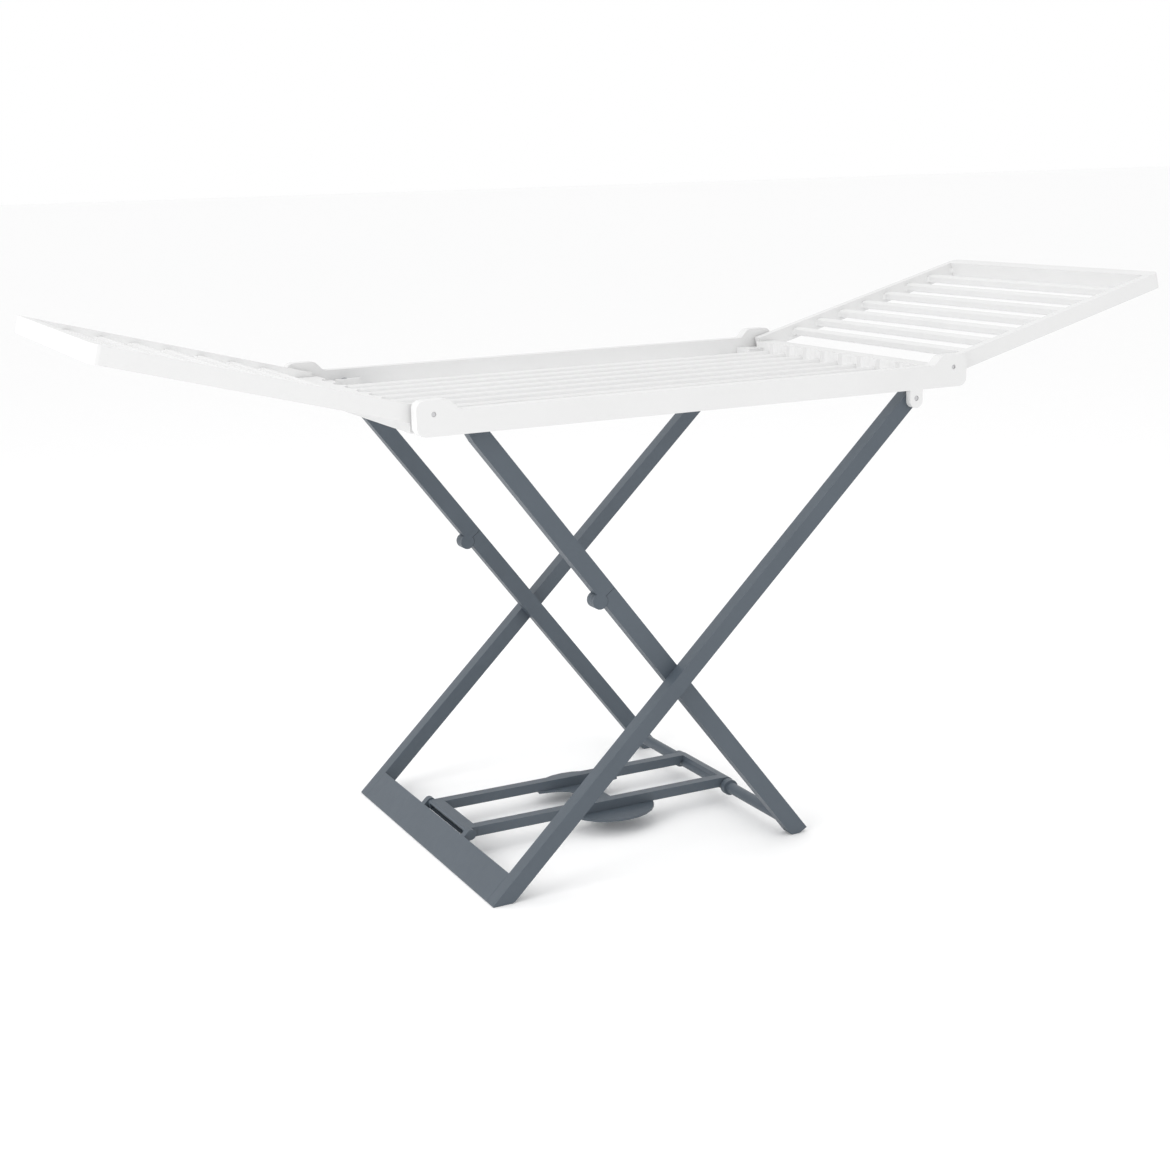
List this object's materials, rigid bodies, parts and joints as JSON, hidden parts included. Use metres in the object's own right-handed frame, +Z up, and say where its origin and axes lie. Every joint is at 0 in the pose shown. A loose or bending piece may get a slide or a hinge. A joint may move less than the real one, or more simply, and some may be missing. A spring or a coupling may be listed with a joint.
{
  "type": "winged clothes airer",
  "caption": "Free-standing folding clothes airer: white resin rack with two raised wings on grey crossed legs joined by a clip-on brace near the floor.",
  "frame": {"origin": "on the floor under the middle of the rack, centre of the footprint of the open airer", "axes": "+X along the rack from left wing to right wing, +Y across the rack to the rear, +Z up"},
  "size_m": [1.7958, 0.6, 0.8716],
  "materials": {
    "white_resin": "satin",
    "grey_resin": "satin",
    "steel_pin": "satin"
  },
  "bodies": {
    "outer_legs": {"outer_leg_front": "grey_resin", "outer_leg_rear": "grey_resin", "foot_plate": "grey_resin", "rack_pin_front": "steel_pin", "rack_pin_rear": "steel_pin", "cross_pin_front": "steel_pin", "cross_pin_rear": "steel_pin", "brace_hinge_rod": "steel_pin"},
    "rack": {"rack_rail_front": "white_resin", "rack_rail_rear": "white_resin", "rack_end_left": "white_resin", "rack_end_right": "white_resin", "rack_bar_1": "white_resin", "rack_bar_2": "white_resin", "rack_bar_3": "white_resin", "rack_bar_4": "white_resin", "rack_bar_5": "white_resin", "rack_bar_6": "white_resin", "rack_bar_7": "white_resin", "rack_bar_8": "white_resin", "rack_bar_9": "white_resin", "wing_pin_left_front": "steel_pin", "wing_pin_left_rear": "steel_pin", "wing_pin_right_front": "steel_pin", "wing_pin_right_rear": "steel_pin"},
    "wing_left": {"wing_left_rail_front": "white_resin", "wing_left_rail_rear": "white_resin", "wing_left_tip": "white_resin", "wing_left_bar_1": "white_resin", "wing_left_bar_2": "white_resin", "wing_left_bar_3": "white_resin", "wing_left_bar_4": "white_resin", "wing_left_bar_5": "white_resin", "wing_left_bar_6": "white_resin", "wing_left_bar_7": "white_resin"},
    "wing_right": {"wing_right_rail_front": "white_resin", "wing_right_rail_rear": "white_resin", "wing_right_tip": "white_resin", "wing_right_bar_1": "white_resin", "wing_right_bar_2": "white_resin", "wing_right_bar_3": "white_resin", "wing_right_bar_4": "white_resin", "wing_right_bar_5": "white_resin", "wing_right_bar_6": "white_resin", "wing_right_bar_7": "white_resin"},
    "inner_legs": {"inner_leg_front": "grey_resin", "inner_leg_rear": "grey_resin", "inner_crossbar": "grey_resin", "knee_pin_front": "steel_pin", "knee_pin_rear": "steel_pin"},
    "upper_links": {"upper_link_front": "grey_resin", "upper_link_rear": "grey_resin", "link_pin_front": "steel_pin", "link_pin_rear": "steel_pin"},
    "brace": {"brace_rod_front": "grey_resin", "brace_rod_rear": "grey_resin", "brace_hinge_bar": "grey_resin", "brace_clip_bar": "grey_resin", "brace_grip": "grey_resin"}
  },
  "joints": [
    {"name": "leg_fold", "type": "hinge", "parent": "outer_legs", "child": "inner_legs", "pos_m": [-0.04889, 0, 0.30017], "axis": [0, 1, 0], "range_deg": [0, 80]},
    {"name": "rack_fold", "type": "hinge", "parent": "outer_legs", "child": "rack", "pos_m": [0.372, 0, 0.702], "axis": [0, -1, 0], "range_deg": [0, 37.7]},
    {"name": "link_fold", "type": "hinge", "parent": "inner_legs", "child": "upper_links", "pos_m": [-0.17545, 0, 0.43763], "axis": [0, -1, 0], "range_deg": [0, 166.8]},
    {"name": "brace_fold", "type": "hinge", "parent": "outer_legs", "child": "brace", "pos_m": [-0.32845, 0, 0.0388], "axis": [0, -1, 0], "range_deg": [0, 43.8]},
    {"name": "wing_left_fold", "type": "hinge", "parent": "rack", "child": "wing_left", "pos_m": [-0.4435, 0, 0.746], "axis": [0, 1, 0], "range_deg": [0, 160.7]},
    {"name": "wing_right_fold", "type": "hinge", "parent": "rack", "child": "wing_right", "pos_m": [0.4435, 0, 0.746], "axis": [0, -1, 0], "range_deg": [0, 165]}
  ],
  "couplings": [
    {"joint": "rack_fold", "follows": "leg_fold", "ratio": 0.47031},
    {"joint": "link_fold", "follows": "leg_fold", "ratio": 2.0832},
    {"joint": "brace_fold", "follows": "leg_fold", "ratio": 0.54591}
  ]
}
